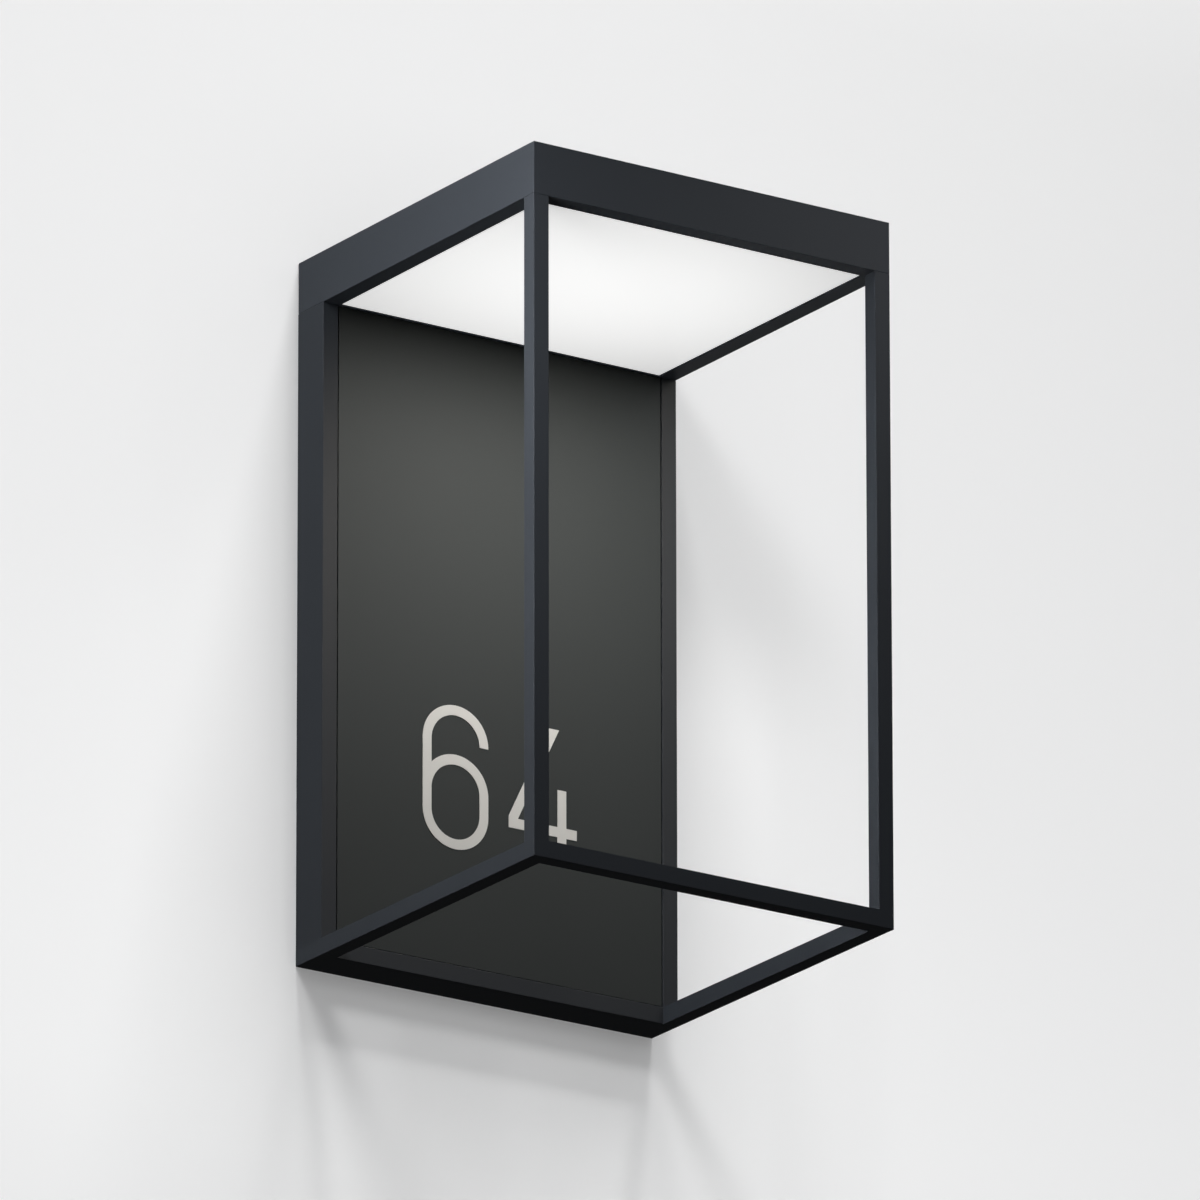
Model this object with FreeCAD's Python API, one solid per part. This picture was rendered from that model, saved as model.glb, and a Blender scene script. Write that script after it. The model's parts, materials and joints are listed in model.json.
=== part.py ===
"""Illuminated house number sign: a square lantern frame on a slim wall box, with a light head above.

Millimetres. The origin is the centre of the wall screw pattern, on the wall plane.
+Z is up, +X runs right along the wall as seen from the street, and +Y points into the wall.
"""
import FreeCAD
import Part
import math
import os

# ---------------------------------------------------------------- driving sizes
# Whole sign
overall_width = 250.0
overall_depth = 250.0
overall_height = 435.0
bar = 10.5                   # square section of the posts and rails
back_depth = 27.0            # depth of the wall box and its stiles
edge_radius = 0.45           # rolled edge of every extrusion
seam_radius = 0.3            # small edge that draws the line between two pieces

# Light head
head_height = 32.0
head_wall = 3.0
head_floor = 3.0
lip_width = 12.0             # from the head's outer face to the light opening
cover_thickness = 3.0
cover_gasket_thickness = 1.5
cover_gasket_width = 2.5
ledge_width = 3.0
ledge_height = 3.0
lug_length = 10.0
lug_gap = 9.5                # how far a lug stands in from the wall
lug_height = 8.0
front_lug_height = 12.0
plate_drop = 7.0             # from the cover's ledge to the LED plate's underside
pillar_inset = 20.0          # from the head's side to the cover's outer screws
pillar_gap = 3.0             # from the diffuser's flange to the cover's rear screw pillars
cover_screw_inset = 5.5      # from the head's front wall to the cover's front screws
side_lug_spacing = 72.0

# Diffuser
diffuser_recess = 0.6
diffuser_clearance = 0.4
diffuser_skin = 3.0
flange_width = 6.0
flange_thickness = 2.0
flange_corner_cut = 5.0      # how much the flange keeps past the opening's corner, both ways added
diffuser_gasket_thickness = 1.0
diffuser_gasket_setback = 0.5
reflector_wall = 1.2
reflector_inset = 1.0        # the light chamber's wall stands this far in from the opening

# LED board
led_plate_thickness = 2.0
led_plate_side_gap = 1.0
board_count = 3
board_length = 200.0
board_width = 24.0
board_thickness = 1.6
board_pitch = 62.0
chip_count = 10
chip_pitch = 20.0
chip_size = 3.0
chip_thickness = 0.7
board_screw_reach = 60.0
link_wire_radius = 0.8
link_wire_spacing = 4.0
connector_length = 12.0
connector_width = 14.0
connector_height = 5.5
connector_overhang = 4.5     # past the rear board's edge, towards the wall
connector_leg = 4.0
connector_leg_inset = 1.5    # from the rear board's edge

# Wall box
flange_reach = 10.0          # stile's rear flange, behind the back plate
seat_reach = 4.0             # stile's front flange, behind the number panel
sheet = 1.5                  # back plate and stile flanges
tube_wall = 1.5
tube_solid = 12.0            # solid rear part of a stile, which takes the screws
gasket_width = 8.0
plate_clearance = 0.3
plate_screw_inset = 40.0     # from the wall box's top and bottom to its outer screws
rail_pocket_wall = 3.0
rail_pocket_floor = 2.5

# Number panel
panel_thickness = 2.0
panel_setback = 0.4
panel_seam = 0.6
panel_foot_gap = 0.2
keeper_radius = 6.0
keeper_thickness = 1.0
magnet_radius = 5.0
magnet_depth = 3.0
magnet_block = 14.0
magnet_inset = 22.0

# Numerals, thin inlaid film
numeral_film = 0.3
numeral_stroke = 6.2
six_width = 46.0
six_height = 88.6
six_centre_x = -31.6
bowl_height = 58.2
four_width = 47.9
four_height = 82.7
four_left_x = 5.8
four_bar_right = 7.4         # crossbar's end past the upright
four_bar_drop = 60.0         # from the numeral's top to the crossbar's top
four_head_offset = 28.6      # from the numeral's left to its top corner
four_upright_top = 37.0      # from the numeral's top to the upright's top
four_heel = 1.0              # blunt corner where the slanting stroke meets the crossbar
numeral_base_z = -136.0
four_lift = 4.0

# Wall bracket
bracket_thickness = 2.0
hole_spacing_x = 130.0
hole_spacing_z = 160.0
slot_radius = 2.75
slot_length = 12.0
bracket_margin = 15.0
bracket_bar = 25.0           # height of the bracket's cross pieces
bracket_side = 40.0          # width of the bracket's side pieces
bracket_corner = 6.0
plate_gap = 5.0              # from the bracket to the back plate
hook_spacing = 90.0
hook_width = 16.0
hook_thickness = 2.0
hook_lip = 11.0
hook_clearance = 0.5
lock_standoff_radius = 4.5
lock_screw_radius = 2.0
lock_head_radius = 4.3
lock_head_height = 2.5
lock_head_clearance = 0.7
lock_slot_width = 1.0

# Cable entry
entry_z = -35.0
entry_bore_radius = 4.5
entry_hole_radius = 10.0
entry_flange_radius = 12.5
entry_flange_thickness = 1.5
entry_nose = 3.0
entry_nose_wall = 2.0

# Driver
driver_width = 38.0
driver_length = 130.0
driver_height = 13.0
driver_lid_thickness = 1.5
driver_wall = 1.2
driver_inset = 35.0
driver_bottom_z = -85.0
driver_ear = 9.0
driver_ear_thickness = 2.0
board_step = 1.5
driver_board_thickness = 1.6
driver_board_gap = 2.3
driver_board_clearance = 0.2
transformer_size = (18.0, 7.5, 22.0)
capacitor_radius = 3.7
capacitor_length = 14.0
capacitor_gap = 5.0          # from the transformer to the capacitors

# Terminal block
pole_count = 3
pole_pitch = 10.0
terminal_width = 30.0
terminal_height = 14.0
terminal_right_x = 5.0
first_pole_z = -105.0
clamp_outer_radius = 3.1
clamp_bore_radius = 2.0
clamp_length = 24.0
clamp_screw_radius = 1.4
clamp_screw_spread = 7.0
clamp_screw_sink = 1.0
wire_stop = 1.0              # the wires end this far from the middle of their clamps
earth_x = 40.0
earth_radius = 5.0
earth_post_radius = 3.4
earth_screw_depth = 4.5
lug_thickness = 1.0
lug_barrel = 6.5
lug_barrel_wall = 0.7
lug_overlap = 1.5            # the barrel runs this far into the ring
lug_wire_depth = 4.0

# Leads
core_radius = 1.3
core_spacing = 8.0           # between the supply cores, where they enter the driver
led_lead_radius = 2.0
lead_bend_radius = 12.0
lead_axis_gap = 7.0          # from the back plate to the axis of every lead
clip_width = 8.0
clip_length = 6.0
clip_wall = 2.0
clip_inset = 42.0            # from the driver and from the head to the clips
grommet_flange_radius = 5.0
grommet_hole_radius = 3.8
grommet_flange_thickness = 1.5

# Screws and pins
screw_radius = 1.5
screw_head_radius = 2.75
screw_head_height = 2.0
countersink_radius = 3.0
drive_radius = 1.3           # hexagon socket, to its corners
drive_depth = 1.2
wire_slot = 0.6
screw_axis_inset = 7.0       # from the outer faces to the post screws
cover_screw_depth = 8.0      # depths are what a screw reaches into its last piece
plate_screw_depth = 6.0
magnet_screw_depth = 6.0
post_screw_depth = 11.5
dowel_radius = 2.0
dowel_half_length = 8.5
stile_screw_inset = 6.0
hole_end = 0.5               # a blind hole is this much deeper than its screw or pin
hole_clearance = 0.1
thread_clearance = 0.05

# ---------------------------------------------------------------- worked-out places
half_width = overall_width / 2
half_height = overall_height / 2
front_y = -overall_depth
top_z = half_height
bottom_z = -half_height
ring_top = bottom_z + bar
head_base = top_z - head_height
floor_top = head_base + head_floor
inner_x = half_width - bar
box_front = -back_depth

opening_x = half_width - lip_width
opening_front = front_y + lip_width
opening_back = box_front
cavity_x = half_width - head_wall
cavity_front = front_y + head_wall
cavity_back = -head_wall
ledge_top = top_z - cover_thickness - cover_gasket_thickness
lug_top = ledge_top - plate_drop
flange_base = floor_top + diffuser_gasket_thickness
flange_top = flange_base + flange_thickness
opening_mid_y = (opening_front + opening_back) / 2

plate_back = -(bracket_thickness + plate_gap)
plate_front = plate_back - sheet
panel_front = box_front + panel_setback
panel_back = panel_front + panel_thickness
lead_y = plate_front - lead_axis_gap

bracket_half_x = hole_spacing_x / 2 + bracket_margin
bracket_half_z = hole_spacing_z / 2 + bracket_margin
hook_top = bracket_half_z - hook_lip
lift = hook_lip + hook_clearance
lock_z = -(bracket_half_z - bracket_bar / 2)

driver_x = inner_x - driver_inset
driver_top_z = driver_bottom_z + driver_length
driver_front = plate_front - driver_height
magnet_x = inner_x - magnet_inset
magnet_low_z = ring_top + magnet_inset
magnet_high_z = head_base - magnet_inset
pole_z = [first_pole_z - pole_pitch * k for k in range(pole_count)]
led_plate_front = opening_front + reflector_inset
led_plate_back = opening_back - reflector_inset
board_y = [opening_mid_y + board_pitch * (k - (board_count - 1) / 2) for k in range(board_count)]
rear_board_edge = board_y[-1] + board_width / 2


# ---------------------------------------------------------------- shape helpers
def block(x0, x1, y0, y1, z0, z1):
    """Box between two corners."""
    return Part.makeBox(x1 - x0, y1 - y0, z1 - z0, FreeCAD.Vector(x0, y0, z0))


def rod(start, direction, radius, length):
    """Round bar from a point along a direction."""
    return Part.makeCylinder(radius, length, FreeCAD.Vector(*start), FreeCAD.Vector(*direction))


def taper(start, direction, radius_start, radius_end, length):
    """Cone frustum from a point along a direction."""
    return Part.makeCone(radius_start, radius_end, length, FreeCAD.Vector(*start), FreeCAD.Vector(*direction))


def prism(points, direction):
    """Straight prism over a closed polygon."""
    corners = [FreeCAD.Vector(*p) for p in points]
    return Part.Face(Part.makePolygon(corners + corners[:1])).extrude(FreeCAD.Vector(*direction))


def round_edges(shape, radius, wanted):
    """Round the straight edges that wanted(midpoint, direction) picks."""
    picked = []
    for edge in shape.Edges:
        if len(edge.Vertexes) < 2:
            continue
        a, b = (vertex.Point for vertex in edge.Vertexes[:2])
        if wanted((a + b) * 0.5, (b - a).normalize()):
            picked.append(edge)
    return shape.makeFillet(radius, picked)


def near(a, b):
    """True for two places that are the same."""
    return abs(a - b) < 1e-6


def along(direction, axis):
    """True for an edge that runs along axis 0, 1 or 2."""
    return abs(direction[axis]) > 0.999


def mirrored_pair(make):
    """The same builder for the left side (-1) and the right side (+1)."""
    return {"left": make(-1), "right": make(1)}


def group(shapes):
    """Identical separate pieces that share one node."""
    return Part.makeCompound(list(shapes))


def lead(points, bends, radius):
    """Round lead on straight runs joined by tangent arcs, one bend radius for each inner point."""
    corners = [FreeCAD.Vector(*p) for p in points]
    edges = []
    start = corners[0]
    for corner, following, bend in zip(corners[1:-1], corners[2:], bends):
        into = (corner - start).normalize()
        out = (following - corner).normalize()
        turn = into.getAngle(out)
        cut = bend * math.tan(turn / 2)
        arc_start = corner - into * cut
        arc_end = corner + out * cut
        centre = arc_start + (out - into * math.cos(turn)).normalize() * bend
        middle = centre + (corner - centre).normalize() * bend
        edges.append(Part.LineSegment(start, arc_start).toShape())
        edges.append(Part.Arc(arc_start, middle, arc_end).toShape())
        start = arc_end
    edges.append(Part.LineSegment(start, corners[-1]).toShape())
    path = Part.Wire(edges)
    ring = Part.Wire([Part.makeCircle(radius, corners[0], (corners[1] - corners[0]).normalize())])
    tube = path.makePipeShell([ring], True, False)
    expected = math.pi * radius ** 2 * path.Length
    print("lead", round(path.Length, 1), "mm, bends", bends, "volume ratio", round(tube.Volume / expected, 4))
    return tube


def socket(place, direction):
    """Hexagon socket sunk from a screw head's top along a direction."""
    x, y, z = place
    corners = []
    for step in range(6):
        turn = step * math.pi / 3
        if direction[2]:
            corners.append((x + drive_radius * math.cos(turn), y + drive_radius * math.sin(turn), z))
        else:
            corners.append((x + drive_radius * math.cos(turn), y, z + drive_radius * math.sin(turn)))
    return prism(corners, [part * drive_depth for part in direction])


def cheese_head(x, y, z, direction):
    """Round screw head that stands on a face, with its socket in the top."""
    top = (x, y + direction[1] * screw_head_height, z + direction[2] * screw_head_height)
    head = rod((x, y, z), direction, screw_head_radius, screw_head_height)
    return head.cut(socket(top, [-part for part in direction]))


def screw_down(x, y, z, length):
    """Cheese head screw standing on a face at height z, with its shank going down."""
    return cheese_head(x, y, z, (0, 0, 1)).fuse(rod((x, y, z - length), (0, 0, 1), screw_radius, length))


def screw_in(x, z, length, face_y):
    """Screw driven towards the wall, its head on the face at face_y."""
    head = cheese_head(x, face_y, z, (0, -1, 0))
    return head.fuse(rod((x, face_y, z), (0, 1, 0), screw_radius, length))


# ---------------------------------------------------------------- light head
front_lug_x = [-(half_width - pillar_inset), 0.0, half_width - pillar_inset]
front_lug_y = cavity_front + cover_screw_inset
pillar_y = opening_back + flange_width + pillar_gap + lug_length / 2
side_lug_x = cavity_x - lug_gap / 2
side_lug_y = [opening_mid_y - side_lug_spacing, opening_mid_y, opening_mid_y + side_lug_spacing]
post_screw_x = half_width - screw_axis_inset
post_screw_y = front_y + screw_axis_inset
cover_screw_places = [(x, front_lug_y) for x in front_lug_x] + [(x, pillar_y) for x in front_lug_x]


def head_frame():
    """Light head: four walls, a floor lip round the light opening, a cover ledge and screw lugs."""
    body = block(-half_width, half_width, front_y, 0, head_base, top_z)
    body = body.cut(block(-cavity_x, cavity_x, cavity_front, cavity_back, floor_top, top_z))
    body = body.cut(block(-opening_x, opening_x, opening_front, opening_back, head_base, floor_top))
    ledge_x = cavity_x - ledge_width
    ledge = block(-cavity_x, cavity_x, cavity_front, cavity_back, ledge_top - ledge_height, ledge_top)
    ledge = ledge.cut(block(-ledge_x, ledge_x, cavity_front + ledge_width, cavity_back - ledge_width,
                            ledge_top - ledge_height, ledge_top))
    body = body.fuse(ledge)
    for x in front_lug_x:
        body = body.fuse(block(x - lug_length / 2, x + lug_length / 2, cavity_front, cavity_front + lug_gap,
                               ledge_top - front_lug_height, ledge_top))
        body = body.fuse(block(x - lug_length / 2, x + lug_length / 2,
                               pillar_y - lug_length / 2, pillar_y + lug_length / 2, floor_top, ledge_top))
    for side in (-1, 1):
        for y in side_lug_y:
            xs = sorted((side * cavity_x, side * (cavity_x - lug_gap)))
            body = body.fuse(block(xs[0], xs[1], y - lug_length / 2, y + lug_length / 2,
                                   lug_top - lug_height, lug_top))
    tapped = screw_radius + thread_clearance
    for x, y in cover_screw_places:
        body = body.cut(rod((x, y, ledge_top), (0, 0, -1), tapped, cover_screw_depth + hole_end))
    for side in (-1, 1):
        for y in side_lug_y:
            body = body.cut(rod((side * side_lug_x, y, lug_top), (0, 0, -1), tapped,
                                plate_screw_depth + hole_end))
        for y in (post_screw_y, -stile_screw_inset):
            body = body.cut(rod((side * post_screw_x, y, head_base), (0, 0, 1), screw_radius + hole_clearance,
                                head_floor))
    body = body.cut(rod((driver_x, lead_y, head_base), (0, 0, 1), grommet_hole_radius, head_floor))

    def outer(mid, direction):
        side = near(abs(mid.x), half_width)
        front_or_back = near(mid.y, front_y) or near(mid.y, 0)
        upright = along(direction, 2) and side and front_or_back
        rim = near(mid.z, top_z) and (side or front_or_back)
        return upright or rim
    body = round_edges(body.removeSplitter(), edge_radius, outer)

    def lower(mid, direction):
        side = near(abs(mid.x), half_width) and along(direction, 1)
        face = near(mid.y, front_y) and along(direction, 0)
        mouth = near(mid.z, head_base) and (near(abs(mid.x), opening_x) or near(mid.y, opening_front))
        return near(mid.z, head_base) and (side or face or mouth)
    return round_edges(body, seam_radius, lower)


def head_cover():
    """Top cover, let in flush between the head's walls, with countersunk holes."""
    gap = plate_clearance
    cover = block(-cavity_x + gap, cavity_x - gap, cavity_front + gap, cavity_back - gap,
                  top_z - cover_thickness, top_z)
    cover = round_edges(cover, edge_radius, lambda mid, direction: near(mid.z, top_z))
    for x, y in cover_screw_places:
        cover = cover.cut(rod((x, y, top_z - cover_thickness), (0, 0, 1), screw_radius + hole_clearance,
                              cover_thickness))
        cover = cover.cut(taper((x, y, top_z), (0, 0, -1), countersink_radius + hole_clearance,
                                screw_radius + hole_clearance, countersink_radius - screw_radius))
    return cover


def cover_screws():
    """Countersunk screws that pull the cover down onto its gasket."""
    screws = []
    sink = countersink_radius - screw_radius
    length = cover_thickness + cover_gasket_thickness + cover_screw_depth
    for x, y in cover_screw_places:
        head = taper((x, y, top_z), (0, 0, -1), countersink_radius, screw_radius, sink)
        shank = rod((x, y, top_z - sink), (0, 0, -1), screw_radius, length - sink)
        screws.append(head.fuse(shank).cut(socket((x, y, top_z), (0, 0, -1))))
    return group(screws)


def cover_gasket():
    """Flat rubber ring on the ledge, under the cover."""
    edge = plate_clearance
    ring = block(-cavity_x + edge, cavity_x - edge, cavity_front + edge, cavity_back - edge,
                 ledge_top, ledge_top + cover_gasket_thickness)
    inner = edge + cover_gasket_width
    return ring.cut(block(-cavity_x + inner, cavity_x - inner, cavity_front + inner, cavity_back - inner,
                          ledge_top, ledge_top + cover_gasket_thickness))


def flange_outline(shrink, z0, height):
    """Plate a little wider than the light opening, its corners cut off past the post screws."""
    x = opening_x + flange_width - shrink
    y0 = opening_front - flange_width + shrink
    y1 = opening_back + flange_width - shrink
    cut = 2 * (flange_width - shrink) - (flange_corner_cut - shrink)
    corners = [(x, y0 + cut), (x, y1 - cut), (x - cut, y1), (-x + cut, y1),
               (-x, y1 - cut), (-x, y0 + cut), (-x + cut, y0), (x - cut, y0)]
    return prism([(px, py, z0) for px, py in corners], (0, 0, height))


def diffuser():
    """Opal tray: its skin fills the opening almost flush, and its flange hangs on the lip."""
    gap = diffuser_clearance
    skin_base = head_base + diffuser_recess
    plug = block(-opening_x + gap, opening_x - gap, opening_front + gap, opening_back - gap,
                 skin_base, flange_top)
    tray = plug.fuse(flange_outline(0.0, flange_base, flange_thickness)).removeSplitter()
    rim = gap + diffuser_skin
    tray = tray.cut(block(-opening_x + rim, opening_x - rim, opening_front + rim, opening_back - rim,
                          skin_base + diffuser_skin, flange_top))
    return round_edges(tray, seam_radius, lambda mid, direction: near(mid.z, skin_base))


def diffuser_gasket():
    """Thin silicone ring between the lip and the diffuser's flange."""
    edge = diffuser_gasket_setback
    ring = flange_outline(edge, floor_top, diffuser_gasket_thickness)
    return ring.cut(block(-opening_x - edge, opening_x + edge, opening_front - edge, opening_back + edge,
                          floor_top, flange_base))


def reflector_frame():
    """White wall round the light chamber, standing on the diffuser and carrying the LED plate."""
    x = opening_x - reflector_inset
    wall = reflector_wall
    ring = block(-x, x, led_plate_front, led_plate_back, flange_top, lug_top)
    return ring.cut(block(-x + wall, x - wall, led_plate_front + wall, led_plate_back - wall,
                          flange_top, lug_top))


board_screw_places = [(side * board_screw_reach, y) for side in (-1, 1) for y in board_y]
board_base = lug_top - board_thickness
connector_y1 = rear_board_edge + connector_overhang
leg_y1 = rear_board_edge - connector_leg_inset


def led_plate():
    """Aluminium plate that carries the LED boards and spreads their heat into the head."""
    half = cavity_x - led_plate_side_gap
    plate = block(-half, half, led_plate_front, led_plate_back, lug_top, lug_top + led_plate_thickness)
    for side in (-1, 1):
        for y in side_lug_y:
            plate = plate.cut(rod((side * side_lug_x, y, lug_top), (0, 0, 1), screw_radius + hole_clearance,
                                  led_plate_thickness))
    for x, y in board_screw_places:
        plate = plate.cut(rod((x, y, lug_top), (0, 0, 1), screw_radius + thread_clearance,
                              led_plate_thickness))
    half_leg = connector_leg / 2 + hole_clearance
    return plate.cut(block(driver_x - half_leg, driver_x + half_leg, leg_y1 - connector_leg - hole_clearance,
                           leg_y1 + hole_clearance, lug_top, lug_top + led_plate_thickness))


def led_plate_screws():
    """Screws that hold the LED plate on the head's side lugs."""
    length = led_plate_thickness + plate_screw_depth
    return group(screw_down(side * side_lug_x, y, lug_top + led_plate_thickness, length)
                 for side in (-1, 1) for y in side_lug_y)


def led_boards():
    """Narrow LED boards under the plate."""
    boards = []
    for y in board_y:
        board = block(-board_length / 2, board_length / 2, y - board_width / 2, y + board_width / 2,
                      board_base, lug_top)
        for side in (-1, 1):
            board = board.cut(rod((side * board_screw_reach, y, board_base), (0, 0, 1),
                                  screw_radius + hole_clearance, board_thickness))
        boards.append(board)
    return group(boards)


def led_chips():
    """Rows of LED chips on the undersides of the boards."""
    chips = []
    half = chip_size / 2
    for y in board_y:
        for k in range(chip_count):
            x = chip_pitch * (k - (chip_count - 1) / 2)
            chips.append(block(x - half, x + half, y - half, y + half,
                               board_base - chip_thickness, board_base))
    return group(chips)


def board_screws():
    """Low screws that press the boards to the plate."""
    screws = []
    for x, y in board_screw_places:
        head = cheese_head(x, y, board_base, (0, 0, -1))
        screws.append(head.fuse(rod((x, y, board_base), (0, 0, 1), screw_radius,
                                    board_thickness + led_plate_thickness)))
    return group(screws)


def board_link_wires():
    """Short bare links that join one board to the next."""
    wires = []
    gap = board_pitch - board_width
    for y in board_y[:-1]:
        for k in (0, 1):
            x = board_length / 2 - link_wire_spacing * (k + 1)
            start = (x, y + board_width / 2, lug_top - link_wire_radius)
            wires.append(rod(start, (0, 1, 0), link_wire_radius, gap))
    return group(wires)


def led_connector():
    """Plug-in connector on the LED plate; its leg goes through the plate to the rear board."""
    z0 = lug_top + led_plate_thickness
    body = block(driver_x - connector_width / 2, driver_x + connector_width / 2,
                 connector_y1 - connector_length, connector_y1, z0, z0 + connector_height)
    leg = block(driver_x - connector_leg / 2, driver_x + connector_leg / 2,
                leg_y1 - connector_leg, leg_y1, lug_top, z0)
    return body.fuse(leg)


def lead_grommet():
    """Rubber grommet where the LED lead goes up through the head's floor."""
    axis = (driver_x, lead_y)
    ring = rod((*axis, head_base - grommet_flange_thickness), (0, 0, 1), grommet_flange_radius,
               grommet_flange_thickness)
    ring = ring.fuse(rod((*axis, head_base), (0, 0, 1), grommet_hole_radius - thread_clearance, head_floor))
    ring = ring.fuse(rod((*axis, floor_top), (0, 0, 1), grommet_flange_radius, grommet_flange_thickness))
    return ring.cut(rod((*axis, head_base - grommet_flange_thickness), (0, 0, 1),
                        led_lead_radius + thread_clearance, head_floor + 2 * grommet_flange_thickness))


# ---------------------------------------------------------------- lantern frame
dowel_x = half_width - bar / 2
dowel_front_y = front_y + bar / 2


def front_post(side):
    """Square post from the bottom ring to the head."""
    xs = sorted((side * half_width, side * inner_x))
    post = block(xs[0], xs[1], front_y, front_y + bar, ring_top, head_base)
    post = round_edges(post, edge_radius, lambda mid, direction: along(direction, 2))

    def shown_top(mid, direction):
        return near(mid.z, head_base) and (near(mid.y, front_y) or near(abs(mid.x), half_width))
    post = round_edges(post, seam_radius, shown_top)
    post = post.cut(rod((side * post_screw_x, post_screw_y, head_base), (0, 0, -1),
                        screw_radius + thread_clearance, post_screw_depth + hole_end))
    return post.cut(rod((side * dowel_x, dowel_front_y, ring_top), (0, 0, 1),
                        dowel_radius + thread_clearance, dowel_half_length + hole_end))


def back_stile(side):
    """Wall box side: hollow extrusion with a flange for the back plate and a seat for the number panel."""
    height = head_base - ring_top

    def bar_between(x0, x1, y0, y1):
        xs = sorted((side * x0, side * x1))
        return block(xs[0], xs[1], y0, y1, ring_top, ring_top + height)
    body = bar_between(inner_x, half_width, box_front, 0)

    def front_corner(mid, direction):
        return along(direction, 2) and near(mid.y, box_front)
    body = round_edges(body, edge_radius, front_corner)

    def shown_top(mid, direction):
        return near(mid.z, head_base) and (near(mid.y, box_front) or near(abs(mid.x), half_width))
    body = round_edges(body, seam_radius, shown_top)
    body = body.cut(bar_between(inner_x + tube_wall, half_width - tube_wall,
                                box_front + tube_wall, -tube_solid))
    body = body.fuse(bar_between(inner_x - flange_reach, inner_x, plate_back, plate_back + sheet))
    body = body.fuse(bar_between(inner_x - seat_reach, inner_x, panel_back, panel_back + sheet))
    body = body.removeSplitter()
    body = body.cut(rod((side * post_screw_x, -stile_screw_inset, head_base), (0, 0, -1),
                        screw_radius + thread_clearance, post_screw_depth + hole_end))
    body = body.cut(rod((side * dowel_x, -stile_screw_inset, ring_top), (0, 0, 1),
                        dowel_radius + thread_clearance, dowel_half_length + hole_end))
    for z in plate_screw_z:
        body = body.cut(rod((side * plate_screw_x, plate_back, z), (0, 1, 0), screw_radius + thread_clearance,
                            sheet))
    return body


def ring_hole(body, side, y):
    """Dowel hole in the bottom ring, open upwards."""
    return body.cut(rod((side * dowel_x, y, ring_top), (0, 0, -1), dowel_radius + thread_clearance,
                        dowel_half_length + hole_end))


def bottom_rail_front():
    """Front bar of the bottom ring, as wide as the sign; the front posts stand on its ends."""
    rail = block(-half_width, half_width, front_y, front_y + bar, bottom_z, ring_top)

    def outer(mid, direction):
        front = near(mid.y, front_y) and along(direction, 0)
        ends = near(abs(mid.x), half_width) and near(mid.y, front_y) and along(direction, 2)
        under = near(mid.z, bottom_z) and near(abs(mid.x), half_width)
        return (front and near(mid.z, bottom_z)) or ends or under
    rail = round_edges(rail, edge_radius, outer)
    for side in (-1, 1):
        rail = ring_hole(rail, side, dowel_front_y)
    return rail


def bottom_rail_side(side):
    """Side bar of the bottom ring, from the front bar to the wall; the stile stands on its rear end."""
    xs = sorted((side * half_width, side * inner_x))
    rail = block(xs[0], xs[1], front_y + bar, 0, bottom_z, ring_top)

    def outer(mid, direction):
        return along(direction, 1) and near(mid.z, bottom_z) and near(abs(mid.x), half_width)
    rail = round_edges(rail, edge_radius, outer)
    return ring_hole(rail, side, -stile_screw_inset)


def bottom_rail_back():
    """Rear bar of the bottom ring, as deep as the wall box, hollowed from above."""
    rail = block(-inner_x, inner_x, box_front, 0, bottom_z, ring_top)

    def outer(mid, direction):
        return along(direction, 0) and near(mid.y, box_front)
    rail = round_edges(rail, edge_radius, outer)
    wall = rail_pocket_wall
    return rail.cut(block(-inner_x + wall, inner_x - wall, box_front + wall, -wall - gasket_width,
                          bottom_z + rail_pocket_floor, ring_top))


def post_screws():
    """Screws from inside the head into the tops of the front posts."""
    return group(screw_down(side * post_screw_x, post_screw_y, floor_top, head_floor + post_screw_depth)
                 for side in (-1, 1))


def stile_screws():
    """Screws from inside the head into the tops of the back stiles."""
    return group(screw_down(side * post_screw_x, -stile_screw_inset, floor_top, head_floor + post_screw_depth)
                 for side in (-1, 1))


def corner_dowels():
    """Pins that join the posts and stiles to the bottom ring."""
    return group(rod((side * dowel_x, y, ring_top - dowel_half_length), (0, 0, 1), dowel_radius,
                     2 * dowel_half_length)
                 for side in (-1, 1) for y in (dowel_front_y, -stile_screw_inset))


# ---------------------------------------------------------------- wall box
plate_screw_x = inner_x - flange_reach / 2
plate_screw_z = [ring_top + plate_screw_inset, (ring_top + head_base) / 2, head_base - plate_screw_inset]
driver_ear_places = [(driver_x - driver_width / 2 + driver_ear / 2, driver_top_z + driver_ear / 2),
                     (driver_x - driver_width / 2 + driver_ear / 2, driver_bottom_z - driver_ear / 2)]
terminal_mid_x = terminal_right_x - terminal_width / 2
terminal_mid_z = (pole_z[0] + pole_z[-1]) / 2
terminal_half_z = pole_count * pole_pitch / 2
terminal_screw_places = [(terminal_mid_x, (a + b) / 2) for a, b in zip(pole_z, pole_z[1:])]
magnet_places = [(side * magnet_x, z) for side in (-1, 1) for z in (magnet_low_z, magnet_high_z)]
clip_z = [driver_top_z + clip_inset, head_base - clip_inset]


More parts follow.
